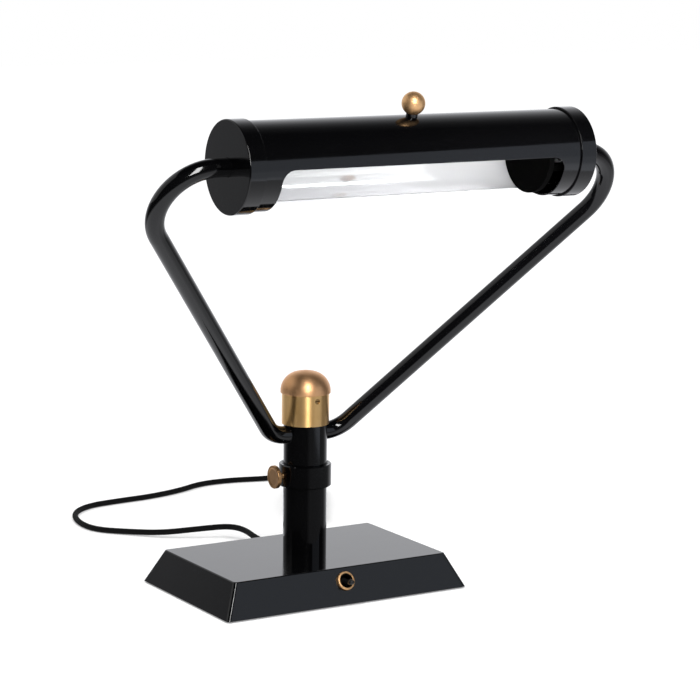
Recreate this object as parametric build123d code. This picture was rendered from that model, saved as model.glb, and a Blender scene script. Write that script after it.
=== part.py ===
"""Desk lamp: a tubular shade in a bent yoke, which tilts and swivels on a post above a sloped base.

Millimetres, +Z up, origin at the centre of the base on the table, switch at the front (-Y).
Every piece is written to parts/ under its own name.
"""
import math
import os

from build123d import *

# Fits: radial clearances, and gaps between faces
RUN = 0.05  # a shaft that turns in a hole
FIXED = 0.03  # a piece that is pushed into another and stays there
FACE_GAP = 0.15  # flat faces that turn past each other
CLEAR = 0.3  # other faces of pieces that move past each other

# Base
BASE_LENGTH = 200.0
BASE_DEPTH = 132.0
BASE_HEIGHT = 25.5  # table to the top face, felt included
SIDE_INSET = 11.7  # how far the sloped sides lean in
BASE_CORNER = 2.5
BASE_EDGE = 1.0  # rounding of the top edge
SIDE_WALL = 8.0
TOP_WALL = 8.5
FELT = 1.0
FELT_MARGIN = 5.0
PLATE = 1.5
PLATE_GAP = 0.2
PLATE_SCREW_D = 3.5
PLATE_SCREW_HEAD = 6.5
PLATE_SCREW_LENGTH = 11.0
BOSS_D = 11.0
BOSS_INSET = 21.0  # from the bottom edges to the boss axis
BALLAST_HEIGHT = 11.0
BALLAST_FROM_POST = 29.0  # stem axis to each block
BALLAST_END_GAP = 13.4  # block to the hollow's end wall, at the top
BALLAST_SIDE_GAP = 14.4  # block to the hollow's long walls, at the top

# Post, collar and thumb screw
STEM_D = 32.0
STEM_WALL = 3.0
POST_LENGTH = 53.5  # above the base
POST_THREAD_D = 20.0
POST_NUT_AF = 30.0
POST_NUT_HEIGHT = 6.0
POST_WASHER_D = 34.0
POST_WASHER = 1.5
WIRE_BORE = 10.0
COLLAR_D = 38.6
COLLAR_HEIGHT = 16.5
COLLAR_LAP = 3.0  # how far the collar reaches down over the post
COLLAR_EDGE = 0.6
COLLAR_BEVEL = 1.3  # inside, at the top
THRUST_WASHER = 1.0
THUMB_D = 17.0
THUMB_THICKNESS = 3.0
THUMB_STANDOFF = 4.9  # collar to the coin head
THUMB_SHANK_D = 4.9
THUMB_EDGE = 0.5

# Mast
MAST_LENGTH = 42.0  # thrust washer to the brass ring
SPIGOT_WALL = 3.0
SPIGOT_BELOW = 33.0  # length that stands in the post
SPIGOT_ABOVE = 24.0  # length held in the upper tube
PIVOT_DROP = 7.3  # brass ring to the axis of the cross tube
NECK_HEIGHT = 21.0
NECK_WALL = 1.5
RING_D = 34.7
RING_TOP = 1.5
RING_SCREW_D = 4.0
RING_SCREW_DROP = 4.0  # below the top of the ring
RING_SCREW_DEPTH = 9.0
RING_SCREW_SINK = 0.6  # below the ring's surface
SLOT_WIDTH = 0.9
SLOT_DEPTH = 0.7
BUSH_HEIGHT = 12.0
SHOE_RISE = 5.8  # shoe's thickness above the cross tube
SHOE_LAP = 4.5  # how far the shoe reaches down beside the cross tube
KNOB_D = 36.8
KNOB_LIP = 1.3
KNOB_CROWN = 15.0  # lip to the top
KNOB_TOP_R = 30.0  # radius of the dome's flatter top
STUD_D = 10.0
STUD_IN_KNOB = 8.0

# Yoke
ARM_D = 13.0
ARM_WALL = 1.5
ARM_FOOT = 27.4  # stem axis to where the slope would meet the cross tube
ARM_OVERHANG = 76.1  # end cap's face to where the slope would meet the arm's top run
REACH = 250.0  # cross tube to the shade axis
LOWER_BEND = 22.0
UPPER_BEND = 34.4
HEAD_TILT = 31.9  # degrees, forward from upright
COUPLING_LAND = 12.0
COUPLING_SPIGOT = 9.0
COUPLING_BORE = 6.0
GRUB_D = 3.0

# Shade, caps and lamp
SHADE_D = 60.0
SHADE_WALL = 1.2
CAP_SPAN = 274.0  # over the faces of both end caps
CAP_WALL = 1.35
CAP_FACE = 3.0
CAP_RIM = 12.5
CAP_EDGE = 0.8
CAP_NUT_AF = 19.0
CAP_NUT_HEIGHT = 5.5
WINDOW_LENGTH = 223.0
WINDOW_START = 1.5  # degrees below level, at the front
WINDOW_SPAN = 113.5  # degrees round the tube
WINDOW_CORNER = 9.0
REFLECTOR = 0.6
REFLECTOR_OVERLAP = 1.5  # past each end of the window
REFLECTOR_SETBACK = 1.5  # degrees behind the window's long edges
RIGHT_HOLDER = 100.0  # middle of the shade to the holder's face
LEFT_HOLDER = 113.0  # past the window's end
HOLDER_THICKNESS = 4.0
HOLDER_LEG_D = 6.0
HOLDER_LEG_RADIUS = 17.0
LAMP_D = 15.4
LAMP_RISE = 10.0  # above the shade's axis, out of sight behind the shade's front
LAMP_WALL = 0.8
FERRULE_WALL = 0.5
FERRULE_LENGTH = 12.0
FERRULE_END = 2.0
LAMP_PIN_D = 2.4
LAMP_PIN_SPACING = 5.0
BALL_D = 16.0
BALL_LEAN = 13.0  # degrees, forward from straight up
BALL_STANDOFF = 1.0
BALL_FOOT_D = 8.0
BALL_STUD_D = 5.0
BALL_NUT_AF = 8.0
BALL_NUT_HEIGHT = 2.8
BALL_WASHER_D = 10.0
BALL_WASHER = 0.6

# Switch
SWITCH_HEIGHT = 16.3  # above the table, on the sloped front
SWITCH_BUSH_D = 11.0
SWITCH_BORE = 8.0
SWITCH_NUT_D = 13.8
SWITCH_NUT_HOLE = 9.0
SWITCH_NUT_HEIGHT = 2.2
SWITCH_NUT_LIP = 0.7
SWITCH_BODY_WIDTH = 13.0
SWITCH_BODY_HEIGHT = 8.0
SWITCH_BODY_DEPTH = 12.0
LEVER_D = 4.4
LEVER_LENGTH = 10.5  # outside the sloped face
LEVER_PIVOT = 4.0  # below the sloped face
LEVER_THROW = 12.0  # degrees, each side of the middle
TERMINAL_LENGTH = 20.0
TERMINAL_DEPTH = 13.0
TERMINAL_HEIGHT = 9.0

# Mains lead
CORD_D = 4.6
CORD_EXIT_X = 18.0
CORD_EXIT_HEIGHT = 10.0
RELIEF_D = 10.0
RELIEF_TIP_D = 6.4
RELIEF_LENGTH = 24.0  # outside the rear face
RELIEF_FLANGE_D = 11.6
RELIEF_FLANGE = 1.5
HANK_BEARING = 59.8  # degrees from +X, away from the stem
HANK_NEAR = 210.0  # stem axis to the near folds
HANK_RUN = 90.0
HANK_LAYERS = 4  # one turn in each
HANK_FOLD = 9.2  # radius of the tightest fold
HANK_STEP = 5.2  # middle to middle of neighbouring turns
TIE = 0.6
TIE_WIDTH = 12.0
TIE_GAP = 0.2
TAIL_STRAIGHT = 10.0  # past the near folds
TAIL_LENGTH = 36.0  # on down to the plug
PLUG_SIDE = -1.3  # plug axis beside the hank's own line
PLUG_HEIGHT = 8.3  # plug axis above the table
PLUG_LENGTH = 36.0
PLUG_WIDTH = 26.0
PLUG_EDGE = 4.0
PLUG_SLEEVE = 20.0
PLUG_SLEEVE_D = 9.0
PLUG_PIN_D = 4.0
PLUG_PIN_LENGTH = 19.0
PLUG_PIN_SPACING = 18.6

# Free stretch of the lead behind the base, from the strain relief to the hank
LEAD_POINTS = [
    (25.0, 136.0, 9.6),
    (22.0, 157.0, 8.6),
    (0.0, 166.0, 7.0),
    (-26.0, 180.0, 3.8),
    (-45.0, 201.0, 2.4),
    (-65.0, 221.0, 2.3),
    (-67.0, 248.0, 2.3),
    (-57.0, 280.0, 2.3),
    (-35.0, 299.0, 2.3),
    (-5.0, 303.0, 2.3),
    (28.0, 305.0, 2.3),
    (60.0, 314.0, 2.3),
    (86.0, 328.0, 2.3),
    (116.0, 328.0, 2.3),
    (146.3, 318.7, 2.3),
    (177.0, 315.6, 2.4),
    (187.4, 292.6, 2.6),
]
LEAD_STRAIGHT = 20.0  # out of the strain relief, and into the hank

# Places that follow from the sizes above
SLOPE = SIDE_INSET / (BASE_HEIGHT - FELT)
SLOPE_ANGLE = math.degrees(math.atan(SLOPE))
CAVITY_TOP = BASE_HEIGHT - TOP_WALL
PLATE_TOP = FELT + PLATE
STEM_BORE = STEM_D / 2 - STEM_WALL
POST_TOP = BASE_HEIGHT + POST_LENGTH
COLLAR_BOTTOM = POST_TOP - COLLAR_LAP
COLLAR_TOP = COLLAR_BOTTOM + COLLAR_HEIGHT
THUMB_Z = COLLAR_BOTTOM + COLLAR_HEIGHT / 2
MAST_BOTTOM = POST_TOP + THRUST_WASHER + RUN
SHOULDER = MAST_BOTTOM + MAST_LENGTH
NECK_TOP = SHOULDER + NECK_HEIGHT
NECK_R = STEM_BORE + NECK_WALL
RING_HEIGHT = NECK_HEIGHT + FACE_GAP + RING_TOP
RING_TOP_Z = SHOULDER + RING_HEIGHT
PIVOT_Z = SHOULDER - PIVOT_DROP
SPIGOT_R = STEM_BORE - FIXED
ARM_R = ARM_D / 2
ARM_BORE = ARM_R - ARM_WALL
SHOE_TOP = PIVOT_Z + ARM_R + SHOE_RISE
CAP_FACE_X = CAP_SPAN / 2
CAP_INNER_X = CAP_FACE_X - CAP_FACE
CAP_R = SHADE_D / 2 + RUN + CAP_WALL
SHADE_END = CAP_INNER_X - CLEAR
SHADE_BORE = SHADE_D / 2 - SHADE_WALL
REFLECTOR_R = SHADE_BORE - RUN
ARM_TIP = CAP_INNER_X - CAP_NUT_HEIGHT - FACE_GAP
HANK_LIFT = TIE + TIE_GAP
HANK_LOW = HANK_LIFT + CORD_D / 2
HANK_HIGH = HANK_LOW + HANK_STEP * (HANK_LAYERS - 1)
HANK_FAR = HANK_NEAR + HANK_RUN
SLEEVE_END = HANK_NEAR - TAIL_STRAIGHT - TAIL_LENGTH - CORD_D

HEAD = Pos(0, 0, PIVOT_Z) * Rot(HEAD_TILT, 0, 0)
YOKE_TOP = HEAD * Pos(0, 0, REACH)
SHADE_Y = -REACH * math.sin(math.radians(HEAD_TILT))
SHADE_Z = PIVOT_Z + REACH * math.cos(math.radians(HEAD_TILT))
SHADE = Pos(0, SHADE_Y, SHADE_Z)
BALL = SHADE * Rot(BALL_LEAN, 0, 0)
ALONG_X = Rot(0, 90, 0)
ALONG_Y = Rot(-90, 0, 0)

pieces = {}


def turned(*profile):
    """Solid of revolution about Z from a closed outline of (radius, height) points."""
    return revolve(make_face(Plane.XZ * Polyline(*profile, close=True)), Axis.Z)


def rod(radius, low, high):
    """Plain cylinder on Z between two heights."""
    return Pos(0, 0, low) * Cylinder(radius, high - low, align=(Align.CENTER, Align.CENTER, Align.MIN))


def ring(outer, inner, low, high):
    """Plain tube or washer on Z between two heights."""
    return rod(outer, low, high) - rod(inner, low, high)


def hex_nut(across_flats, bore, low, high):
    """Hexagon nut on Z."""
    blank = extrude(RegularPolygon(across_flats / 2, 6, major_radius=False), high - low)
    return Pos(0, 0, low) * blank - rod(bore, low, high)


def sloped_block(length, depth, low, high, corner):
    """Block whose sides lean in at the base's slope, given its size at the lower face."""
    lean = 2 * SLOPE * (high - low)
    lower = Pos(0, 0, low) * RectangleRounded(length, depth, corner)
    upper = Pos(0, 0, high) * RectangleRounded(length - lean, depth - lean, corner)
    return loft([lower, upper])


def front_face_y(height):
    """Y of the sloped front face at a height above the table."""
    return -(BASE_DEPTH / 2 - SLOPE * (height - FELT))


def mirrored(part):
    """The same piece on the other side of the lamp."""
    return mirror(part, Plane.YZ)


def boss_places():
    """Axes of the four bosses under the base."""
    x = BASE_LENGTH / 2 - BOSS_INSET
    y = BASE_DEPTH / 2 - BOSS_INSET
    return [Pos(sx * x, sy * y, 0) for sx in (-1, 1) for sy in (-1, 1)]


def switch_frame():
    """Middle of the switch on the sloped front, Z square to the slope."""
    return Plane((0, front_face_y(SWITCH_HEIGHT), SWITCH_HEIGHT), x_dir=(1, 0, 0),
                 z_dir=(0, -math.cos(math.radians(SLOPE_ANGLE)), math.sin(math.radians(SLOPE_ANGLE))))


def make_base():
    """Casting, plate, felt, ballast and their screws."""
    casting = sloped_block(BASE_LENGTH, BASE_DEPTH, FELT, BASE_HEIGHT, BASE_CORNER)
    casting = fillet(casting.faces().sort_by(Axis.Z)[-1].edges(), BASE_EDGE)
    cavity_length = BASE_LENGTH - 2 * SIDE_WALL
    cavity_depth = BASE_DEPTH - 2 * SIDE_WALL
    casting -= sloped_block(cavity_length, cavity_depth, FELT, CAVITY_TOP, BASE_CORNER)
    screw_r = PLATE_SCREW_D / 2
    head_r = PLATE_SCREW_HEAD / 2
    head = head_r - screw_r
    screws = []
    for place in boss_places():
        casting += place * rod(BOSS_D / 2, PLATE_TOP, CAVITY_TOP)
        casting -= place * rod(screw_r + FIXED, PLATE_TOP, FELT + PLATE_SCREW_LENGTH + FIXED)
        screws.append(place * turned((0, FELT), (head_r, FELT), (screw_r, FELT + head),
                                     (screw_r, FELT + PLATE_SCREW_LENGTH), (0, FELT + PLATE_SCREW_LENGTH)))
    casting -= rod(POST_THREAD_D / 2 + FIXED, CAVITY_TOP, BASE_HEIGHT)
    casting -= switch_frame() * rod(SWITCH_BUSH_D / 2 + FIXED, -2 * SIDE_WALL, SIDE_WALL)
    lead_hole = ALONG_Y * rod(RELIEF_D / 2 + FIXED, BASE_DEPTH / 4, BASE_DEPTH)
    casting -= Pos(CORD_EXIT_X, 0, CORD_EXIT_HEIGHT) * lead_hole
    pieces["base_casting"] = casting

    smaller = 2 * SLOPE * PLATE + 2 * PLATE_GAP
    plate = Pos(0, 0, FELT) * extrude(
        RectangleRounded(cavity_length - smaller, cavity_depth - smaller, BASE_CORNER), PLATE)
    for place in boss_places():
        plate -= place * turned((0, FELT), (head_r + FIXED, FELT), (0, FELT + head_r + FIXED))
        plate -= place * rod(screw_r + FIXED, FELT, PLATE_TOP)
    pieces["bottom_plate"] = plate
    pieces["plate_screws"] = Compound(children=screws)
    pieces["felt_pad"] = extrude(
        RectangleRounded(BASE_LENGTH - 2 * FELT_MARGIN, BASE_DEPTH - 2 * FELT_MARGIN, BASE_CORNER), FELT)
    lean = SLOPE * (CAVITY_TOP - FELT)
    block_end = cavity_length / 2 - lean - BALLAST_END_GAP
    block_depth = cavity_depth - 2 * (lean + BALLAST_SIDE_GAP)
    block = Pos(BALLAST_FROM_POST, 0, CAVITY_TOP) * Box(
        block_end - BALLAST_FROM_POST, block_depth, BALLAST_HEIGHT,
        align=(Align.MIN, Align.CENTER, Align.MAX))
    block = chamfer(block.edges().filter_by(Axis.Z), BASE_CORNER)
    pieces["ballast_blocks"] = Compound(children=[block, mirrored(block)])


def make_post():
    """Lower half of the stem with its nut, the collar and the washer that the mast turns on."""
    thread = POST_THREAD_D / 2
    nut_top = CAVITY_TOP - POST_WASHER
    nut_low = nut_top - POST_NUT_HEIGHT
    socket = STEM_BORE + RUN
    socket_floor = MAST_BOTTOM - SPIGOT_BELOW - 2 * CLEAR
    wire = WIRE_BORE / 2
    outer = STEM_D / 2
    pieces["lower_post"] = turned(
        (wire, nut_low), (thread, nut_low), (thread, BASE_HEIGHT), (outer, BASE_HEIGHT), (outer, POST_TOP),
        (socket, POST_TOP), (socket, socket_floor), (wire, socket_floor))
    pieces["post_washer"] = ring(POST_WASHER_D / 2, thread + FIXED, nut_top, CAVITY_TOP)
    pieces["post_nut"] = hex_nut(POST_NUT_AF, thread + FIXED, nut_low, nut_top)
    bore = outer + RUN
    wall = COLLAR_D / 2
    collar = turned(
        (bore, COLLAR_BOTTOM), (wall - COLLAR_EDGE, COLLAR_BOTTOM), (wall, COLLAR_BOTTOM + COLLAR_EDGE),
        (wall, COLLAR_TOP - COLLAR_EDGE), (wall - COLLAR_EDGE, COLLAR_TOP),
        (bore + COLLAR_BEVEL, COLLAR_TOP), (bore, COLLAR_TOP - COLLAR_BEVEL))
    thumb_axis = Pos(0, 0, THUMB_Z) * Rot(0, -90, 0)
    collar -= thumb_axis * rod(THUMB_SHANK_D / 2 + RUN, outer - STEM_WALL, COLLAR_D)
    pieces["collar"] = collar
    pieces["thrust_washer"] = ring(outer - CLEAR, socket + CLEAR, POST_TOP, POST_TOP + THRUST_WASHER)

    shank = THUMB_SHANK_D / 2
    head_low = wall + THUMB_STANDOFF
    head_high = head_low + THUMB_THICKNESS
    coin = THUMB_D / 2
    pieces["thumb_screw"] = thumb_axis * turned(
        (0, outer + FACE_GAP), (shank, outer + FACE_GAP), (shank, head_low), (coin - THUMB_EDGE, head_low),
        (coin, head_low + THUMB_EDGE), (coin, head_high - THUMB_EDGE), (coin - THUMB_EDGE, head_high),
        (0, head_high))


def make_mast():
    """Upper half of the stem, the brass ring and the clamp that holds the cross tube."""
    outer = STEM_D / 2
    cross = HEAD * ALONG_X * rod(ARM_R + RUN, -STEM_D, STEM_D)
    screw_r = RING_SCREW_D / 2
    ring_r = RING_D / 2
    screw_axis = Pos(0, 0, RING_TOP_Z - RING_SCREW_DROP) * Rot(90, 0, 0)
    screw_hole = screw_axis * rod(screw_r + FIXED, ring_r - RING_SCREW_DEPTH - FIXED, RING_D)

    stem = turned((STEM_BORE, MAST_BOTTOM), (outer, MAST_BOTTOM), (outer, SHOULDER), (NECK_R, SHOULDER),
                  (NECK_R, NECK_TOP), (STEM_BORE, NECK_TOP))
    pieces["upper_stem"] = stem - cross - screw_hole
    pieces["mast_spigot"] = ring(SPIGOT_R, SPIGOT_R - SPIGOT_WALL, MAST_BOTTOM - SPIGOT_BELOW,
                                 MAST_BOTTOM + SPIGOT_ABOVE)

    stud_hole = STUD_D / 2 + 2 * CLEAR
    sleeve = NECK_R + FIXED
    pieces["clamp_ring"] = turned(
        (sleeve, SHOULDER), (ring_r, SHOULDER), (ring_r, RING_TOP_Z), (stud_hole, RING_TOP_Z),
        (stud_hole, RING_TOP_Z - RING_TOP), (sleeve, RING_TOP_Z - RING_TOP)) - screw_hole
    screw_face = ring_r - RING_SCREW_SINK
    slot = Pos(0, 0, screw_face) * Box(RING_SCREW_D, SLOT_WIDTH, 2 * SLOT_DEPTH)
    pieces["ring_screw"] = screw_axis * (rod(screw_r, ring_r - RING_SCREW_DEPTH, screw_face) - slot)
    pieces["clamp_bush"] = ring(SPIGOT_R, STUD_D / 2 + RUN, NECK_TOP - BUSH_HEIGHT, NECK_TOP) - screw_hole
    shoe = rod(STEM_BORE - CLEAR, PIVOT_Z + ARM_R - SHOE_LAP, SHOE_TOP)
    pieces["pressure_shoe"] = shoe - cross

    knob_low = RING_TOP_Z + FACE_GAP
    lip_top = knob_low + KNOB_LIP
    knob_r = KNOB_D / 2
    stud_top = knob_low + STUD_IN_KNOB
    shoulder = (2 * KNOB_TOP_R * KNOB_CROWN - knob_r ** 2 - KNOB_CROWN ** 2) / (2 * (KNOB_TOP_R - knob_r))
    side = knob_r - shoulder
    meet = math.degrees(math.atan2(KNOB_TOP_R - KNOB_CROWN, side))
    with BuildSketch(Plane.XZ) as dome:
        with BuildLine():
            CenterArc((side, lip_top), shoulder, 0, meet)
            CenterArc((0, lip_top + KNOB_CROWN - KNOB_TOP_R), KNOB_TOP_R, meet, 90 - meet)
            Polyline((0, lip_top + KNOB_CROWN), (0, knob_low), (knob_r, knob_low), (knob_r, lip_top))
        make_face()
    stud_socket = rod(STUD_D / 2 + FIXED, knob_low, stud_top + FIXED)
    pieces["clamp_knob"] = revolve(dome.sketch, Axis.Z) - stud_socket
    pieces["knob_stud"] = rod(STUD_D / 2, SHOE_TOP + FACE_GAP, stud_top)


def make_yoke():
    """Two bent arms joined by a coupling inside the stem."""
    corner = CAP_FACE_X + ARM_OVERHANG
    inner = COUPLING_LAND / 2
    path = FilletPolyline((inner, 0, 0), (ARM_FOOT, 0, 0), (corner, 0, REACH), (ARM_TIP, 0, REACH),
                          radius=[LOWER_BEND, UPPER_BEND])
    section = Plane(path @ 0, z_dir=path % 0) * (Circle(ARM_R) - Circle(ARM_BORE))
    grub_x = inner + COUPLING_SPIGOT / 2
    grub = Pos(grub_x, 0, 0) * rod(GRUB_D / 2, -ARM_R + FACE_GAP, -COUPLING_BORE / 2)
    grub_hole = Pos(grub_x, 0, 0) * rod(GRUB_D / 2 + FIXED, -ARM_D, 0)
    arm = sweep(section, path=path) - grub_hole
    pieces["right_arm"] = HEAD * arm
    pieces["left_arm"] = HEAD * mirrored(arm)
    spigot = ARM_BORE - FIXED
    end = inner + COUPLING_SPIGOT
    coupling = ALONG_X * turned(
        (COUPLING_BORE / 2, -end), (spigot, -end), (spigot, -inner), (ARM_R, -inner), (ARM_R, inner),
        (spigot, inner), (spigot, end), (COUPLING_BORE / 2, end))
    coupling -= rod(COUPLING_BORE / 2, -ARM_D, 0)
    pieces["arm_coupling"] = HEAD * (coupling - grub_hole - mirrored(grub_hole))
    pieces["coupling_screws"] = Compound(children=[HEAD * grub, HEAD * mirrored(grub)])


def make_caps_and_lamp():
    """End caps on the arms, with the lamp and its holders between them."""
    rim_low = CAP_FACE_X - CAP_RIM
    hole = ARM_R + FIXED
    rim = CAP_R - CAP_WALL
    cap = ALONG_X * turned(
        (hole, CAP_INNER_X), (rim, CAP_INNER_X), (rim, rim_low), (CAP_R, rim_low),
        (CAP_R, CAP_FACE_X - CAP_EDGE), (CAP_R - CAP_EDGE, CAP_FACE_X), (hole, CAP_FACE_X))
    pieces["right_end_cap"] = YOKE_TOP * cap
    pieces["left_end_cap"] = YOKE_TOP * mirrored(cap)
    nut = ALONG_X * hex_nut(CAP_NUT_AF, hole, CAP_INNER_X - CAP_NUT_HEIGHT, CAP_INNER_X)
    pieces["cap_nuts"] = Compound(children=[YOKE_TOP * nut, YOKE_TOP * mirrored(nut)])

    pin_r = LAMP_PIN_D / 2
    glass_r = LAMP_D / 2
    ferrule_r = glass_r + FIXED + FERRULE_WALL
    lamp_axis = YOKE_TOP * Pos(0, 0, LAMP_RISE)
    ferrules = []
    for name, face in (("right", RIGHT_HOLDER), ("left", LEFT_HOLDER)):
        back = face + HOLDER_THICKNESS
        ferrule_end = face - FACE_GAP
        holder = ALONG_X * rod(REFLECTOR_R - REFLECTOR - 2 * CLEAR, face, back)
        ferrule_open = ferrule_end - FERRULE_LENGTH
        ferrule = rod(ferrule_r, ferrule_open, ferrule_end)
        ferrule -= rod(glass_r + FIXED, ferrule_open, ferrule_end - FERRULE_END)
        ferrule = ALONG_X * ferrule
        for side in (-1, 1):
            leg = ALONG_X * rod(HOLDER_LEG_D / 2, back, CAP_INNER_X)
            pin_place = Pos(0, side * LAMP_PIN_SPACING / 2, 0) * ALONG_X
            holder += Pos(0, side * HOLDER_LEG_RADIUS, 0) * leg
            holder -= Pos(0, 0, LAMP_RISE) * pin_place * rod(pin_r + FIXED, face, back)
            ferrule += pin_place * rod(pin_r, face - FACE_GAP, back - FACE_GAP)
        pieces[name + "_lamp_holder"] = YOKE_TOP * (holder if name == "right" else mirrored(holder))
        ferrules.append(lamp_axis * (ferrule if name == "right" else mirrored(ferrule)))
    pieces["lamp_ferrules"] = Compound(children=ferrules)
    glass_stop = FACE_GAP + FERRULE_END + FIXED
    glass = ring(glass_r, glass_r - LAMP_WALL, glass_stop - LEFT_HOLDER, RIGHT_HOLDER - glass_stop)
    pieces["lamp_tube"] = lamp_axis * ALONG_X * glass


def sector(outer, inner, start, span, half_length):
    """Part of a tube about X: angles in degrees from +Y towards +Z."""
    first = math.radians(start)
    last = math.radians(start + span)
    with BuildSketch(Plane.YZ) as outline:
        with BuildLine():
            CenterArc((0, 0), outer, start, span)
            CenterArc((0, 0), inner, start, span)
            for angle in (first, last):
                Line((inner * math.cos(angle), inner * math.sin(angle)),
                     (outer * math.cos(angle), outer * math.sin(angle)))
        make_face()
    return extrude(outline.sketch, half_length, both=True)


def make_shade():
    """Tube with its window, the reflector and the brass ball that turns it."""
    outer = SHADE_D / 2
    window_start = 180 + WINDOW_START
    stud_r = BALL_STUD_D / 2
    stud_hole = Rot(BALL_LEAN, 0, 0) * rod(stud_r + FIXED, 0, SHADE_D)
    window = sector(SHADE_D, SHADE_BORE / 2, window_start, WINDOW_SPAN, WINDOW_LENGTH / 2)
    corners = [e for e in window.edges().filter_by(GeomType.LINE) if abs((e % 0).X) < 0.5]
    window = fillet(corners, WINDOW_CORNER)
    tube = ALONG_X * ring(outer, SHADE_BORE, -SHADE_END, SHADE_END)
    pieces["shade_tube"] = SHADE * (tube - window - stud_hole)

    inner = REFLECTOR_R - REFLECTOR
    reflector = sector(REFLECTOR_R, inner, window_start + WINDOW_SPAN + REFLECTOR_SETBACK,
                       360 - WINDOW_SPAN - 2 * REFLECTOR_SETBACK, WINDOW_LENGTH / 2 + REFLECTOR_OVERLAP)
    pieces["reflector"] = SHADE * (reflector - stud_hole)

    ball_r = BALL_D / 2
    centre = outer + BALL_STANDOFF + ball_r
    washer_r = BALL_WASHER_D / 2
    washer_top = math.sqrt(inner ** 2 - washer_r ** 2) - FIXED
    nut_top = washer_top - BALL_WASHER
    nut_low = nut_top - BALL_NUT_HEIGHT
    stud = rod(stud_r, nut_low - SLOT_DEPTH, centre)
    ball = Pos(0, 0, centre) * Sphere(ball_r)
    foot = ring(BALL_FOOT_D / 2, stud_r + FIXED, SHADE_BORE, centre)
    foot -= ALONG_X * rod(outer + FIXED, -SHADE_D, SHADE_D)
    foot -= Pos(0, 0, centre) * Sphere(ball_r + FIXED)
    foot = foot.solids().sort_by(Axis.Z)[0]
    pieces["ball_knob"] = BALL * (ball - rod(stud_r + FIXED, 0, centre + FIXED))
    pieces["ball_foot"] = BALL * foot
    pieces["ball_stud"] = BALL * stud
    pieces["ball_washer"] = BALL * ring(washer_r, stud_r + FIXED, nut_top, washer_top)
    pieces["ball_nut"] = BALL * hex_nut(BALL_NUT_AF, stud_r + FIXED, nut_low, nut_top)


def make_switch():
    """Toggle switch in the sloped front, and the block that joins the wires."""
    frame = switch_frame()
    wall = SIDE_WALL * math.cos(math.radians(SLOPE_ANGLE))
    bush_r = SWITCH_BUSH_D / 2
    bore_r = SWITCH_BORE / 2
    housing_top = -wall - FACE_GAP
    bush_top = SWITCH_NUT_HEIGHT - SWITCH_NUT_LIP - FIXED
    ball_r = bore_r - CLEAR
    bore_floor = -LEVER_PIVOT - bore_r
    body = rod(bush_r, housing_top, bush_top)
    body += Pos(0, 0, housing_top) * Box(SWITCH_BODY_WIDTH, SWITCH_BODY_HEIGHT, SWITCH_BODY_DEPTH,
                                         align=(Align.CENTER, Align.CENTER, Align.MAX))
    pieces["switch_body"] = frame * (body - rod(bore_r, bore_floor, bush_top))
    nut_r = SWITCH_NUT_D / 2
    lip = SWITCH_NUT_HEIGHT - SWITCH_NUT_LIP
    hole = SWITCH_NUT_HOLE / 2
    edge = SWITCH_NUT_LIP
    pieces["switch_ring_nut"] = frame * turned(
        (bush_r + FIXED, 0), (nut_r, 0), (nut_r, SWITCH_NUT_HEIGHT - edge),
        (nut_r - edge, SWITCH_NUT_HEIGHT), (hole, SWITCH_NUT_HEIGHT), (hole, lip), (bush_r + FIXED, lip))
    lever_r = LEVER_D / 2
    tip = LEVER_PIVOT + LEVER_LENGTH - lever_r
    lever = Sphere(ball_r) + rod(lever_r, 0, tip) + Pos(0, 0, tip) * Sphere(lever_r)
    pieces["switch_lever"] = frame * Pos(0, 0, -LEVER_PIVOT) * Rot(LEVER_THROW, 0, 0) * lever

    terminal_y = BASE_DEPTH / 4
    block = Pos(0, terminal_y, CAVITY_TOP - TERMINAL_HEIGHT) * Box(
        TERMINAL_LENGTH, TERMINAL_DEPTH, TERMINAL_HEIGHT, align=(Align.CENTER, Align.CENTER, Align.MIN))
    for place in (-1, 1):
        block -= Pos(place * TERMINAL_LENGTH / 4, terminal_y, 0) * rod(
            PLATE_SCREW_D / 2, CAVITY_TOP - TERMINAL_HEIGHT, CAVITY_TOP - TERMINAL_HEIGHT / 2)
    pieces["terminal_block"] = block


def hank_point(distance, side, height):
    """Point on the table behind the stem: distance along the hank's line, side to its left."""
    bearing = math.radians(HANK_BEARING)
    return (distance * math.cos(bearing) - side * math.sin(bearing),
            distance * math.sin(bearing) + side * math.cos(bearing), height)


def hank_runs():
    """Side, first height and last height of each run: turns go wide and narrow, and even runs climb."""
    inner = HANK_FOLD - HANK_STEP / 4
    runs = []
    for k in range(2 * HANK_LAYERS + 1):
        out = (inner, inner + HANK_STEP / 2, inner + HANK_STEP)[(2, 1, 0, 1)[k % 4]]
        first = max(0, (k - 1) // 2)
        last = min(k // 2, HANK_LAYERS - 1)
        runs.append((out if k % 2 else -out, HANK_LOW + HANK_STEP * first, HANK_LOW + HANK_STEP * last))
    return runs


def s_bend(start, end, direction):
    """Two equal arcs from start to end, both ends along direction."""
    middle = (Vector(start) + Vector(end)) / 2
    first = TangentArc(start, middle, tangent=direction)
    return [first, TangentArc(middle, end, tangent=first % 1)]


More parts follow.
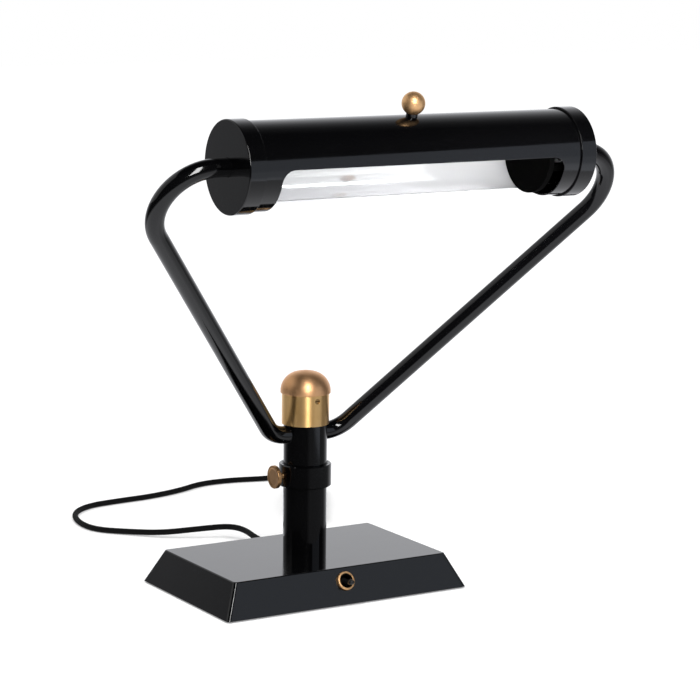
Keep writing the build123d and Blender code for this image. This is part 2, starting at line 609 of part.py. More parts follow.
def hank_path():
    """One line through all turns of the hank and on to the plug."""
    runs = hank_runs()
    towards = Vector(hank_point(-1, 0, 0))
    first_side = runs[0][0]
    last_side = runs[-1][0]
    enter = hank_point(HANK_FAR + CORD_D, first_side, HANK_LOW)
    edges = [Line(enter, hank_point(HANK_FAR, first_side, HANK_LOW))]
    for k, (side, low, high) in enumerate(runs):
        heading_near = k % 2 == 0
        start, end = (HANK_FAR, HANK_NEAR) if heading_near else (HANK_NEAR, HANK_FAR)
        a = hank_point(start, side, low)
        b = hank_point(end, side, high)
        edges += s_bend(a, b, towards if heading_near else -towards) if high > low else [Line(a, b)]
        if k + 1 < len(runs):
            next_side = runs[k + 1][0]
            reach = abs(side - next_side) / 2
            top = end - reach if heading_near else end + reach
            edges.append(ThreePointArc(b, hank_point(top, (side + next_side) / 2, high),
                                       hank_point(end, next_side, high)))
    drop = hank_point(HANK_NEAR - TAIL_STRAIGHT, last_side, HANK_HIGH)
    level = hank_point(HANK_NEAR - TAIL_STRAIGHT - TAIL_LENGTH, PLUG_SIDE, PLUG_HEIGHT)
    edges.append(Line(hank_point(HANK_NEAR, last_side, HANK_HIGH), drop))
    edges += s_bend(drop, level, towards)
    edges.append(Line(level, hank_point(SLEEVE_END, PLUG_SIDE, PLUG_HEIGHT)))
    return Wire([edge.edge() for edge in edges])


def least_gap(path):
    """Smallest clear distance between turns of one tube, from points along its middle line."""
    count = int(path.length / CORD_D * 2)
    points = [path.position_at(k / count) for k in range(count + 1)]
    apart = 8
    nearest = min((points[i] - points[j]).length for i in range(count) for j in range(i + apart, count + 1))
    return nearest - CORD_D


def cord_tube(path, name):
    """Round cord along a path; prints its volume against section times length."""
    tube = sweep(Plane(path @ 0, z_dir=path % 0) * Circle(CORD_D / 2), path=path)
    expected = math.pi * (CORD_D / 2) ** 2 * path.length
    print(f"{name}: length {path.length:.0f}, volume {tube.volume:.0f} of {expected:.0f}")
    return tube


def make_lead():
    """Strain relief, free lead, hank with its tie, and the plug."""
    rear_y = -front_face_y(CORD_EXIT_HEIGHT)
    inside = rear_y - SIDE_WALL - SLOPE * RELIEF_FLANGE_D / 2 - RELIEF_FLANGE - FACE_GAP
    relief_r = RELIEF_D / 2
    tip = rear_y + RELIEF_LENGTH
    flange_r = RELIEF_FLANGE_D / 2
    relief = turned((0, inside), (flange_r, inside), (flange_r, inside + RELIEF_FLANGE),
                    (relief_r, inside + RELIEF_FLANGE), (relief_r, rear_y + CORD_D), (RELIEF_TIP_D / 2, tip),
                    (0, tip))
    pieces["strain_relief"] = Pos(CORD_EXIT_X, 0, CORD_EXIT_HEIGHT) * ALONG_Y * relief

    sides = [run[0] for run in hank_runs()]
    route = [(CORD_EXIT_X, y, CORD_EXIT_HEIGHT) for y in (tip, tip + LEAD_STRAIGHT)] + LEAD_POINTS
    route += [hank_point(HANK_FAR + CORD_D + away, sides[0], HANK_LOW) for away in (LEAD_STRAIGHT, 0)]
    radii = []
    for before, here, after in zip(route, route[1:], route[2:]):
        first = Vector(here) - Vector(before)
        second = Vector(after) - Vector(here)
        turn = math.radians(first.get_angle(second))
        radii.append(0.45 * min(first.length, second.length) / math.tan(turn / 2))
    print("lead radii:", [round(r) for r in radii])
    pieces["cord_lead"] = cord_tube(FilletPolyline(*route, radius=radii).wire(), "cord_lead")
    path = hank_path()
    print(f"hank: least gap {least_gap(path):.2f}")
    pieces["cord_hank"] = cord_tube(path, "cord_hank")

    left = max(sides) + CORD_D / 2 + TIE_GAP
    right = min(sides) - CORD_D / 2 - TIE_GAP
    top = HANK_HIGH + CORD_D / 2 + TIE_GAP
    hank_frame = Rot(0, 0, HANK_BEARING)
    band_place = Pos((HANK_NEAR + HANK_FAR) / 2, (left + right) / 2, (top + TIE) / 2) * ALONG_X
    outer = RectangleRounded(top + TIE, left - right + 2 * TIE, CORD_D / 2 + TIE)
    inner = RectangleRounded(top - TIE, left - right, CORD_D / 2)
    pieces["hank_tie"] = hank_frame * band_place * extrude(outer - inner, TIE_WIDTH / 2, both=True)

    body_end = SLEEVE_END - PLUG_SLEEVE
    plug = Pos(body_end - PLUG_LENGTH / 2, PLUG_SIDE, PLUG_HEIGHT) * Box(
        PLUG_LENGTH, PLUG_WIDTH, 2 * PLUG_HEIGHT)
    plug = fillet(plug.edges().filter_by(Axis.Z), PLUG_EDGE)
    plug = chamfer(plug.faces().sort_by(Axis.Z)[-1].edges(), BASE_EDGE)
    sleeve = turned((0, 0), (PLUG_SLEEVE_D / 2, 0), (RELIEF_TIP_D / 2, PLUG_SLEEVE), (0, PLUG_SLEEVE))
    plug += Pos(body_end, PLUG_SIDE, PLUG_HEIGHT) * ALONG_X * sleeve
    pins = []
    for side in (-1, 1):
        pin_side = PLUG_SIDE + side * PLUG_PIN_SPACING / 2
        place = Pos(body_end - PLUG_LENGTH, pin_side, PLUG_HEIGHT) * Rot(0, -90, 0)
        plug -= place * rod(PLUG_PIN_D / 2 + FIXED, -PLUG_LENGTH / 3 - FIXED, 0)
        pins.append(hank_frame * place * rod(PLUG_PIN_D / 2, -PLUG_LENGTH / 3, PLUG_PIN_LENGTH))
    pieces["plug_body"] = hank_frame * plug
    pieces["plug_pins"] = Compound(children=pins)


make_base()
make_post()
make_mast()
make_yoke()
make_caps_and_lamp()
make_shade()
make_switch()
make_lead()

os.makedirs("parts", exist_ok=True)
for name, piece in pieces.items():
    export_step(piece, f"parts/{name}.step")
print(f"{len(pieces)} pieces; shade axis at {SHADE_Y:.3f}, {SHADE_Z:.3f}; pivot at {PIVOT_Z:.3f}")
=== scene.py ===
"""Looks of a desk lamp: gloss black enamel, brass fittings, polished reflector, braided cord.

Metres, +Z up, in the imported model's own frame: base on the table round the origin, switch at -Y.
"""
import math

import bpy
import numpy as np
from mathutils import Matrix, Vector


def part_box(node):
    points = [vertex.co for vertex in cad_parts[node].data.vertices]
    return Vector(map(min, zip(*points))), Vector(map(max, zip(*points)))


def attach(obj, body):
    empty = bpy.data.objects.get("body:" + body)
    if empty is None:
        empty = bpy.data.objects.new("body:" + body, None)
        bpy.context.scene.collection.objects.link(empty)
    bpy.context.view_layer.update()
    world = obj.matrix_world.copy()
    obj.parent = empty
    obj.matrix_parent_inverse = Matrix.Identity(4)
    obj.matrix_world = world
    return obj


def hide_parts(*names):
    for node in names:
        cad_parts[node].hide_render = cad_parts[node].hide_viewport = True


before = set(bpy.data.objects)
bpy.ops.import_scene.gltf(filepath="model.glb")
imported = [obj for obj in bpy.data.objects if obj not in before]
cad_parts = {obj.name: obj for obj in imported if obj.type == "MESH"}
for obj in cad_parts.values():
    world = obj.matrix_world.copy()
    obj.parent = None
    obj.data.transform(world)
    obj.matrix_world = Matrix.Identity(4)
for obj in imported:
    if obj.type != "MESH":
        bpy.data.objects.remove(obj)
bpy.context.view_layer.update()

TINY = 1e-12  # least length that a vector is divided by
ALONG_X = np.array([1.0, 0, 0])
UP = np.array([0, 0, 1.0])

# Camera, from the photograph's viewing angle
CAMERA_PLACE = (-0.9203, -1.5792, 0.48835)
CAMERA_YAW = 31.241  # degrees, from +Y towards +X
CAMERA_PITCH = 9.684  # degrees down
CAMERA_ROLL = 0.55  # degrees
CAMERA_LENS = 130.85  # mm
CAMERA_SENSOR = 36.0  # mm

# Mains cord
CORD_D = 0.0046
CORD_SIDES = 20
LINE_STEPS = 8  # points on the line for each control point
BRAID_MAP = "along_and_round"
BRAID_PITCH = 0.0016  # along the cord, one carrier to the next
BRAID_CARRIERS = 12  # round the cord
EXIT = (0.018, 0.0857, 0.010)
LEAD_ROUTE = [
    EXIT,
    (0.018, 0.1057, 0.010),
    (0.025, 0.136, 0.0096),
    (0.022, 0.157, 0.0086),
    (0.000, 0.166, 0.0070),
    (-0.026, 0.180, 0.0038),
    (-0.045, 0.201, 0.0024),
    (-0.065, 0.221, 0.0023),
    (-0.067, 0.248, 0.0023),
    (-0.057, 0.280, 0.0023),
    (-0.035, 0.299, 0.0023),
    (-0.005, 0.303, 0.0023),
    (0.028, 0.305, 0.0023),
    (0.060, 0.314, 0.0023),
    (0.086, 0.328, 0.0023),
    (0.116, 0.328, 0.0023),
    (0.1463, 0.3187, 0.0023),
    (0.177, 0.3156, 0.0024),
    (0.1874, 0.2926, 0.0026),
]
LEAD_STRAIGHT = 0.020  # into the hank

# Hank behind the stem, held by a strap, with the plug at its near end
HANK_BEARING = math.radians(59.8)  # from +X, away from the stem
HANK_ALONG = np.array([math.cos(HANK_BEARING), math.sin(HANK_BEARING), 0])
HANK_ACROSS = np.array([-math.sin(HANK_BEARING), math.cos(HANK_BEARING), 0])
HANK_NEAR = 0.210
HANK_RUN = 0.090
HANK_FAR = HANK_NEAR + HANK_RUN
HANK_LAYERS = 4  # one turn in each
HANK_FOLD = 0.0092
HANK_STEP = 0.0052
HANK_SPREAD = (1, 0.5, 0, 0.5)  # steps out from the narrowest turn, run by run
FOLD_POINTS = 6  # control points round each half circle
STRAP = 0.0006
STRAP_GAP = 0.0002
STRAP_WIDTH = 0.012
STRAP_LAP = 0.014  # how far the end lies over the start
STRAP_ROWS = 160
HANK_LOW = STRAP + STRAP_GAP + CORD_D / 2
HANK_HIGH = HANK_LOW + HANK_STEP * (HANK_LAYERS - 1)
TAIL_STRAIGHT = 0.010  # past the near folds
TAIL_LENGTH = 0.036  # on down to the plug
PLUG_SIDE = -0.0013
PLUG_HEIGHT = 0.0083

# Shade and window
WINDOW_HALF = 0.1115  # half its length
WINDOW_START = math.radians(181.5)  # from +Y towards +Z, round the shade's axis
WINDOW_SPAN = math.radians(113.5)
WINDOW_CORNER = 0.009
SHADE_WALL = 0.0012
SHADE_EDGE = 0.0004  # rounding of the window's rim
STRAIGHT_ROWS = 5  # from the middle along the window's straight side
CORNER_ROWS = 10  # round each corner of the window
END_ROWS = 6  # from the window to the end of the tube
SOLID_COLUMNS = 97  # round the tube, from one side of the window to the other
CROSSING_COLUMNS = 24  # over the window
RIM_STEPS = 5  # for each of the rim's two quarter rounds

# Strip on the window's lower rim
EDGING = 0.00025
EDGING_GAP = 0.00005
EDGING_WIDTH = 0.0019  # from the outside of the shade inwards
EDGING_ROUND = 0.00008
EDGING_ROWS = 80

# End caps
CAP_WALL = 0.00135
CAP_FACE = 0.003
CAP_HOLE = 0.00653  # radius
CAP_ROUNDINGS = [0.0002, 0.0005, 0.0004, 0.0004, 0.0009, 0.0003]  # corner by corner

# Dome knob
KNOB_LIP = 0.0013
KNOB_TOP_R = 0.030
KNOB_POLE = math.radians(89.3)  # where the top arc stops, just short of the axis
KNOB_SIDE_STEPS = 28
KNOB_TOP_STEPS = 16
KNOB_ROUNDINGS = [0, 0.0002, 0.0002, 0.00035, 0]
STUD_R = 0.00503
STUD_IN_KNOB = 0.008
SOCKET_POLE_R = 0.001  # innermost ring of the socket's floor

# Thumb screw
COIN_THICKNESS = 0.003
COIN_DISH = 0.0003
COIN_RIM = 0.8  # share of the radius where the rim ends
COIN_FLOOR = 0.72  # share of the radius where the dish is flat
COIN_POLE_R = 0.0008  # innermost ring of the dish
COIN_ROUNDINGS = [0, 0.0004, 0.0006, 0.0006, 0.0004, 0.0004, 0]
SHANK_R = 0.00245

# Ring nut of the switch
SWITCH_SEAT = (0.0, -0.05869, 0.0163)
SLOPE_ANGLE = math.atan2(0.0117, 0.0245)  # sloped sides of the base, from upright
NUT_HEIGHT = 0.0022
NUT_HOLE = 0.0053
NUT_SEAT_HOLE = 0.0055
NUT_LIP = 0.0007  # height of the narrower hole
NUT_ROUNDINGS = [0.0001, 0.0002, 0.0011, 0.0003, 0.00008, 0.00008]

# Felt
FELT_CORNER = 0.0025
FELT_FUZZ = 0.00025  # how uneven the cut edge is
FELT_WAVES = [(0.5, 2900, 0), (0.3, 4300, 1), (0.2, 7100, 2)]  # share, angle for each metre, phase
FELT_POINTS = 600
# Rings from face to face: share of the outline's size and of the thickness
FELT_PROFILE = [(0.02, 0), (0.6, 0), (0.99, 0), (0.997, 0.1), (1.0, 0.35),
                (1.0, 0.65), (0.997, 0.9), (0.99, 1), (0.6, 1), (0.02, 1)]

# Strain relief
RELIEF_FLANGE = 0.0015
RELIEF_NECK = 0.005
RELIEF_TIP = 0.0032
RELIEF_RIBS = 6
RELIEF_RIBBED = 0.96  # share of the taper that has ribs
RELIEF_GROOVE = 0.0007
RELIEF_ROWS = 240

# Finishes
NOISE_RANGE = (0.3, 0.7)  # where most values of a noise lie
SPECK_RANGE = (0.70, 0.78)  # where only a few do
PATINA_RANGE = (0.35, 0.68)
ENAMEL_BLACK = (0.0009, 0.0009, 0.0011, 1)
ENAMEL_GLOSS = (0.07, 0.13)
DUST_COLOUR = (0.05, 0.05, 0.052, 1)
TURNED_LINES = (30, 30, 5000)  # stretch of the noise for fine lines round Z
EVEN_GRAIN = (2500, 2500, 2500)
ROLLED_LINES = (6, 900, 900)  # fine lines along X
# Painted shade: brass darkened inside a radius round Z, standing in for the shadow in the ring's
# screw recess
RECESS_SHADE_COLOUR = (0.10, 0.05, 0.015, 1)
RECESS_SHADE_SHARE = 0.85
RECESS_SHADE_FADE = 0.0008  # over which dirt thins out

# Stage
FLOOR = 6.0  # half its side
FLOOR_Z = -0.0002
FLOOR_COLOUR = 0.75
FLOOR_LIFT = (0.22, 0.64)  # added for the camera, so that the lit floor is white: near and far off
LIFT_REACH = (0.1, 1.8)  # distances from the stem for these
# Direction, from 0 towards the camera to 1 behind the lamp, and its level in reflections
STUDIO_LEVELS = [(0.0, 0.04), (0.35, 0.03), (0.62, 0.04), (0.73, 0.20), (0.90, 0.70), (1.0, 1.25)]
STUDIO_TINT = (0.98, 0.99, 1.03, 1)
BACKDROP_TOP = (0.60, 1.0)  # sine of the elevation where the backdrop fades out
TABLE_SEEN = (-0.28, -0.42)  # sine of the elevation where reflections turn to the white table
SIDE_SEEN = (0.10, 0.45)  # share of the direction to the right where the side of the room begins
SIDE_LOW = (-0.10, -0.16)  # sine of the elevation below which it shows
SIDE_LEVEL = 0.17
TABLE_RIGHT = (0.5, 0.9)  # share of the direction to the right where the white table ends
TABLE_RIGHT_LEVEL = 0.45
ROOM_LEVEL = 0.55
WHITE = (1, 1, 1, 1)
# Name, place, aim, size, watts and colour
SOFTBOXES = [
    ("overhead", (-0.35, 0.15, 1.5), (0, -0.05, 0.1), (0.9, 0.6), 9.0, (1, 1, 1)),
    ("left_box", (-0.95, 0.75, 0.95), (0, -0.05, 0.15), (1.5, 1.2), 3.3, (1, 1, 1)),
    ("side_card", (0.36, -0.65, 0.25), (0, -0.4, 0.25), (0.6, 0.58), 0.66, (0.90, 0.98, 1.12)),
    ("front_strip", (-0.36, -1.17, 1.09), (0, -0.05, 1.09), (0.30, 1.22), 20.0, (1, 1, 1)),
    ("bounce_card", (0.085, -0.25, 0.275), (0.082, -0.107, 0.314), (0.10, 0.12), 0.58, (1, 1, 1)),
]
UNREFLECTED = ["overhead", "bounce_card"]  # reflections show the world in their place


def make_camera():
    """Camera whose axes follow from yaw, pitch and roll."""
    yaw, pitch, roll = np.radians([CAMERA_YAW, CAMERA_PITCH, CAMERA_ROLL])
    level = np.array([np.sin(yaw), np.cos(yaw), 0])
    side = np.array([np.cos(yaw), -np.sin(yaw), 0])
    forward = np.cos(pitch) * level - np.sin(pitch) * UP
    lifted = np.sin(pitch) * level + np.cos(pitch) * UP
    right = np.cos(roll) * side + np.sin(roll) * lifted
    up = np.cos(roll) * lifted - np.sin(roll) * side
    data = bpy.data.cameras.new("camera")
    data.lens = CAMERA_LENS
    data.sensor_width = CAMERA_SENSOR
    camera = bpy.data.objects.new("camera", data)
    bpy.context.scene.collection.objects.link(camera)
    turn = np.eye(4)
    turn[:3] = np.column_stack([right, up, -forward, CAMERA_PLACE])
    camera.matrix_world = Matrix(turn.tolist())
    bpy.context.scene.camera = camera


def unit(vectors):
    """Vectors scaled to length 1."""
    return vectors / np.maximum(np.linalg.norm(vectors, axis=-1, keepdims=True), TINY)


def middle_of(low, high):
    """Middle of a box."""
    return (np.array(low) + np.array(high)) / 2


def run_length(line):
    """Length along a line up to each of its points."""
    return np.concatenate([[0], np.cumsum(np.linalg.norm(np.diff(line, axis=0), axis=1))])


def points_at(outline, s):
    """Points of a flat outline at lengths s along it."""
    length = run_length(outline)
    return np.column_stack([np.interp(s, length, outline[:, k]) for k in (0, 1)])


def quads_between(index):
    """Quads between neighbouring rows of a grid of point numbers, each row closed on itself."""
    beside = np.roll(index, -1, 1)
    return np.stack([index[:-1], beside[:-1], beside[1:], index[1:]], -1)


def smooth_mesh(name, points, faces, normals):
    """Mesh with smooth faces and the given normals at its points."""
    mesh = bpy.data.meshes.new(name)
    mesh.from_pydata(points.tolist(), [], faces)
    mesh.polygons.foreach_set("use_smooth", np.ones(len(mesh.polygons), bool))
    mesh.normals_split_custom_set_from_vertices(normals.tolist())
    return mesh


def ring_mesh(name, rings, loop=False, uv=None):
    """Closed mesh through rings of points, shape (rows, count, 3), with quads between neighbours.

    With loop, the last ring joins the first; otherwise each end ring closes on its middle point.
    Normals are the cross product of the grid's two central differences, so round edges stay crisp.
    uv gives (rows, count + 1, 2) map coordinates for the quads of a mesh without loop.
    """
    rows, count = rings.shape[:2]
    points = rings.reshape(-1, 3)
    index = np.arange(rows * count).reshape(rows, count)
    quads = quads_between(np.vstack([index, index[:1]]) if loop else index).reshape(-1, 4)
    fans = np.empty((0, 3), int)
    round_step = np.roll(rings, -1, 1) - np.roll(rings, 1, 1)
    row_step = np.roll(rings, -1, 0) - np.roll(rings, 1, 0) if loop else np.gradient(rings, axis=0)
    normals = unit(np.cross(round_step, row_step)).reshape(-1, 3)
    corners = points[quads[:, 0]]
    face_normals = np.cross(points[quads[:, 1]] - corners, points[quads[:, 3]] - corners)
    outward = np.sum(face_normals * (corners - points.mean(0))) > 0
    if not loop:
        points = np.vstack([points, rings[0].mean(0), rings[-1].mean(0)])
        first = np.column_stack([np.roll(index[0], -1), index[0], np.full(count, rows * count)])
        last = np.column_stack([index[-1], np.roll(index[-1], -1), first[:, 2] + 1])
        fans = np.vstack([first, last])
        ends = np.stack([normals[:count].mean(0), normals[-count:].mean(0)])
        normals = np.vstack([normals, unit(ends)])
    if not outward:
        quads = quads[:, ::-1]
        fans = fans[:, ::-1]
        normals = -normals
    mesh = smooth_mesh(name, points, quads.tolist() + fans.tolist(), normals)
    if uv is not None:
        low, high = uv[:-1], uv[1:]
        quad_uv = np.stack([low[:, :-1], low[:, 1:], high[:, 1:], high[:, :-1]], 2)
        quad_uv = quad_uv if outward else quad_uv[:, :, ::-1]
        fan_uv = np.zeros((len(fans) * 3, 2))
        layer = mesh.uv_layers.new(name=BRAID_MAP)
        layer.data.foreach_set("uv", np.vstack([quad_uv.reshape(-1, 2), fan_uv]).ravel())
    return mesh


def piece(name, mesh, body, slot, *stands_for):
    """Object at the origin that rides on a body, takes a slot's finish and stands for CAD nodes."""
    shown = bpy.data.objects.new(name, mesh)
    bpy.context.scene.collection.objects.link(shown)
    mesh.materials.append(finishes[slot])
    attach(shown, body)
    if stands_for:
        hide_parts(*stands_for)
    return shown


def rounded(corners, radii, steps=6, closed=True):
    """Outline with a curve at each corner, from a, one radius before it, to b, one radius after.

    The curve is (1-t)^2 a + 2t(1-t) corner + t^2 b. An open outline keeps its two end points.
    """
    corners = np.array(corners, float)
    radii = np.broadcast_to(np.array(radii, float), len(corners))[:, None]
    before = corners + unit(np.roll(corners, 1, 0) - corners) * radii
    after = corners + unit(np.roll(corners, -1, 0) - corners) * radii
    a, corner, b = before[:, None], corners[:, None], after[:, None]
    t = np.linspace(0, 1, steps)[None, :, None]
    curves = (1 - t) ** 2 * a + 2 * t * (1 - t) * corner + t ** 2 * b
    if closed:
        return curves.reshape(-1, 2)
    return np.vstack([corners[:1], curves[1:-1].reshape(-1, 2), corners[-1:]])


def turned(outline, origin, axis, side, segments):
    """Rings of a surface turned from an outline of radius r and height h along the axis.

    A point is origin + h axis + r (cos a side + sin a (axis x side)).
    """
    axis = unit(np.array(axis, float))
    side = unit(np.array(side, float))
    angle = np.linspace(0, 2 * np.pi, segments, endpoint=False)
    spokes = np.cos(angle)[:, None] * side + np.sin(angle)[:, None] * np.cross(axis, side)
    return np.array(origin) + outline[:, 1, None, None] * axis + outline[:, 0, None, None] * spokes


def hank_point(distance, side, height):
    """Place behind the stem: distance along the hank's line, side to its left, height up."""
    outer = np.multiply.outer
    return outer(distance, HANK_ALONG) + outer(side, HANK_ACROSS) + outer(height, UP)


def hank_runs():
    """Side, first and last height of each run: turns go wide and narrow, and even runs climb."""
    inner = HANK_FOLD - HANK_STEP / 4
    runs = []
    for k in range(2 * HANK_LAYERS + 1):
        out = inner + HANK_STEP * HANK_SPREAD[k % len(HANK_SPREAD)]
        first = max(0, (k - 1) // 2)
        last = min(k // 2, HANK_LAYERS - 1)
        side = out if k % 2 else -out
        runs.append((side, HANK_LOW + HANK_STEP * first, HANK_LOW + HANK_STEP * last))
    return runs


def hank_route():
    """Control points of the hank: two on each run, and FOLD_POINTS round each half-circle fold.

    A fold's control point stands where two tangents of the circle meet, at radius / cos(half step).
    """
    runs = hank_runs()
    half_step = math.pi / FOLD_POINTS / 2
    angles = [half_step * (2 * k + 1) for k in range(FOLD_POINTS)]
    route = []
    for k, (side, low, high) in enumerate(runs):
        way = -1 if k % 2 == 0 else 1
        end = HANK_NEAR if way < 0 else HANK_FAR
        start = HANK_FAR + HANK_NEAR - end
        for share, height in ((1 / 3, low), (2 / 3, high)):
            route.append(hank_point(start + (end - start) * share, side, height))
        if k + 1 == len(runs):
            break
        next_side = runs[k + 1][0]
        middle = (side + next_side) / 2
        radius = (side - next_side) / 2
        lead_in = abs(radius) * math.tan(half_step)
        reach = abs(radius) / math.cos(half_step)
        across = radius / math.cos(half_step)
        route.append(hank_point(end - way * lead_in, side, high))
        for angle in angles:
            distance = end + way * reach * math.sin(angle)
            route.append(hank_point(distance, middle + across * math.cos(angle), high))
        route.append(hank_point(end - way * lead_in, next_side, high))
    last_side = runs[-1][0]
    drop = HANK_NEAR - TAIL_STRAIGHT
    level = drop - TAIL_LENGTH
    bend = TAIL_LENGTH / 4
    route += [hank_point(d, last_side, HANK_HIGH) for d in (HANK_NEAR, drop, drop - bend)]
    route += [hank_point(d, PLUG_SIDE, PLUG_HEIGHT) for d in (level + bend, level, level - CORD_D)]
    return route


def nurbs_line(route):
    """Points along the quadratic NURBS spline that has the route as its control points."""
    curve = bpy.data.curves.new("cord_line", "CURVE")
    curve.dimensions = "3D"
    curve.resolution_u = LINE_STEPS
    spline = curve.splines.new("NURBS")
    spline.points.add(len(route) - 1)
    spline.points.foreach_set("co", np.column_stack([route, np.ones(len(route))]).ravel())
    spline.order_u = 3
    spline.use_endpoint_u = True
    holder = bpy.data.objects.new("cord_line", curve)
    mesh = bpy.data.meshes.new_from_object(holder)
    line = np.empty(len(mesh.vertices) * 3)
    mesh.vertices.foreach_get("co", line)
    bpy.data.objects.remove(holder)
    bpy.data.curves.remove(curve)
    bpy.data.meshes.remove(mesh)
    return line.reshape(-1, 3)


def make_cord():
    """Round cord carried along its spline: line + r (cos a side + sin a up), with a braid map."""
    hank_side = hank_runs()[0][0]
    hank_start = HANK_FAR + CORD_D
    into_hank = [hank_point(hank_start + d, hank_side, HANK_LOW) for d in (LEAD_STRAIGHT, 0)]
    line = nurbs_line(LEAD_ROUTE + into_hank + hank_route())
    tangent = unit(np.gradient(line, axis=0))
    side = unit(np.cross(UP, tangent))
    up = np.cross(tangent, side)
    angle = np.linspace(0, 2 * np.pi, CORD_SIDES, endpoint=False)[None, :, None]
    spokes = np.cos(angle) * side[:, None] + np.sin(angle) * up[:, None]
    rings = line[:, None] + CORD_D / 2 * spokes
    map_along = run_length(line) / BRAID_PITCH
    map_round = np.linspace(0, BRAID_CARRIERS, CORD_SIDES + 1)
    uv = np.stack(np.meshgrid(map_along, map_round, indexing="ij"), -1)
    cord = piece("mains_cord", ring_mesh("mains_cord", rings, uv=uv), "base", "cord_cover",
                 "cord_lead", "cord_hank")
    return cord, line


def make_strap():
    """Strap round the hank: a flat section carried round a rounded box, its end over its start.

    Over half a lap before it meets its start, the strap lifts by t t (3 - 2 t) of its thickness.
    """
    sides = [run[0] for run in hank_runs()]
    left = max(sides) + CORD_D / 2 + STRAP_GAP
    right = min(sides) - CORD_D / 2 - STRAP_GAP
    top = HANK_HIGH + CORD_D / 2 + STRAP_GAP
    middle = STRAP / 2
    start = ((left + right) / 2, top + middle)
    box = [(right - middle, top + middle), (right - middle, middle), (left + middle, middle),
           (left + middle, top + middle)]
    radii = [0] + [CORD_D / 2] * len(box) + [0]
    outline = rounded([start] + box + [start], radii, steps=10, closed=False)
    whole = run_length(outline)[-1]
    s = np.linspace(0, whole + STRAP_LAP, STRAP_ROWS)
    path = points_at(outline, np.mod(s, whole))
    tangent = unit(np.gradient(path, axis=0))
    outward = np.column_stack([-tangent[:, 1], tangent[:, 0]])
    outward *= np.sign(np.sum(outward * (path - path.mean(0)), axis=1, keepdims=True))
    t = np.clip((s - whole + STRAP_LAP / 2) / (STRAP_LAP / 2), 0, 1)
    lift = (STRAP + STRAP_GAP) * t * t * (3 - 2 * t)
    path = path + outward * lift[:, None]
    half = STRAP_WIDTH / 2
    corners = [(-half, -middle), (half, -middle), (half, middle), (-half, middle)]
    section = rounded(corners, STRAP / 3, steps=3)
    place = path[:, None] + outward[:, None] * section[None, :, 1, None]
    centre = (HANK_NEAR + HANK_FAR) / 2
    distance = centre + np.broadcast_to(section[None, :, 0], place.shape[:2])
    rings = hank_point(distance, place[..., 0], place[..., 1])
    return piece("hank_strap", ring_mesh("hank_strap", rings), "base", "tie_strap", "hank_tie")


def make_felt():
    """Pad under the base: rings of one rounded rectangle, from one face's middle to the other's.

    A ring is a share of the outline's size, at a share of the thickness. A sum of sines makes
    the cut edge uneven.
    """
    low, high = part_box("felt_pad")
    half_x, half_y = high.x, high.y
    box = [(-half_x, -half_y), (half_x, -half_y), (half_x, half_y), (-half_x, half_y)]
    corners = rounded(box, FELT_CORNER, steps=8)
    s = np.linspace(0, run_length(corners)[-1], FELT_POINTS)
    outline = points_at(corners, s)
    fuzz = FELT_FUZZ * sum(share * np.sin(s * pace + phase) for share, pace, phase in FELT_WAVES)
    outline = outline - unit(outline) * (FELT_FUZZ + fuzz)[:, None]
    size, rise = np.array(FELT_PROFILE).T
    rings = np.empty((len(size), len(outline), 3))
    rings[..., :2] = size[:, None, None] * outline
    rings[..., 2] = (low.z + (high.z - low.z) * rise)[:, None]
    felt = piece("felt_sheet", ring_mesh("felt_sheet", rings), "base", "felt", "felt_pad")


def make_relief():
    """Turned strain relief: its radius tapers along the cord, less a row of soft grooves."""
    low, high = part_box("strain_relief")
    flange = (high.x - low.x) / 2
    y = np.linspace(low.y + RELIEF_FLANGE, high.y, RELIEF_ROWS)
    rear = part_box("base_casting")[1].y
    taper = np.clip((y - rear) / (high.y - rear), 0, 1)
    ribbed = (taper > 0) & (taper < RELIEF_RIBBED)
    groove = np.clip(np.cos(taper * RELIEF_RIBS * 2 * np.pi + np.pi), 0, 1) * ribbed
    radius = RELIEF_NECK + (RELIEF_TIP - RELIEF_NECK) * taper - RELIEF_GROOVE * groove
    collar = [(flange - RELIEF_FLANGE, low.y), (flange, low.y), (flange, low.y + RELIEF_FLANGE)]
    outline = np.vstack([collar, np.column_stack([radius, y])])
    origin = middle_of(low, high) * [1, 0, 1]
    rings = turned(outline, origin, (0, 1, 0), (1, 0, 0), segments=40)
    mesh = ring_mesh("ribbed_relief", rings)
    piece("ribbed_relief", mesh, "base", "lead_rubber", "strain_relief")


def make_cap(side):
    """Turned cup at one end of the shade, round edges, with a hole for the arm."""
    name = side + "_end_cap"
    low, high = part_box(name)
    radius = (high.z - low.z) / 2
    bore = radius - CAP_WALL
    rim, face = sorted((abs(low.x), abs(high.x)))
    floor = face - CAP_FACE
    corners = [(CAP_HOLE, floor), (bore, floor), (bore, rim), (radius, rim), (radius, face),
               (CAP_HOLE, face)]
    outline = rounded(corners, CAP_ROUNDINGS, steps=8)
    origin = middle_of(low, high) * [0, 1, 1]
    axis = (1, 0, 0) if side == "right" else (-1, 0, 0)
    rings = turned(outline, origin, axis, (0, 0, 1), segments=144)
    piece(side + "_cap", ring_mesh(side + "_cap", rings, loop=True), "yoke", "cap_enamel", name)


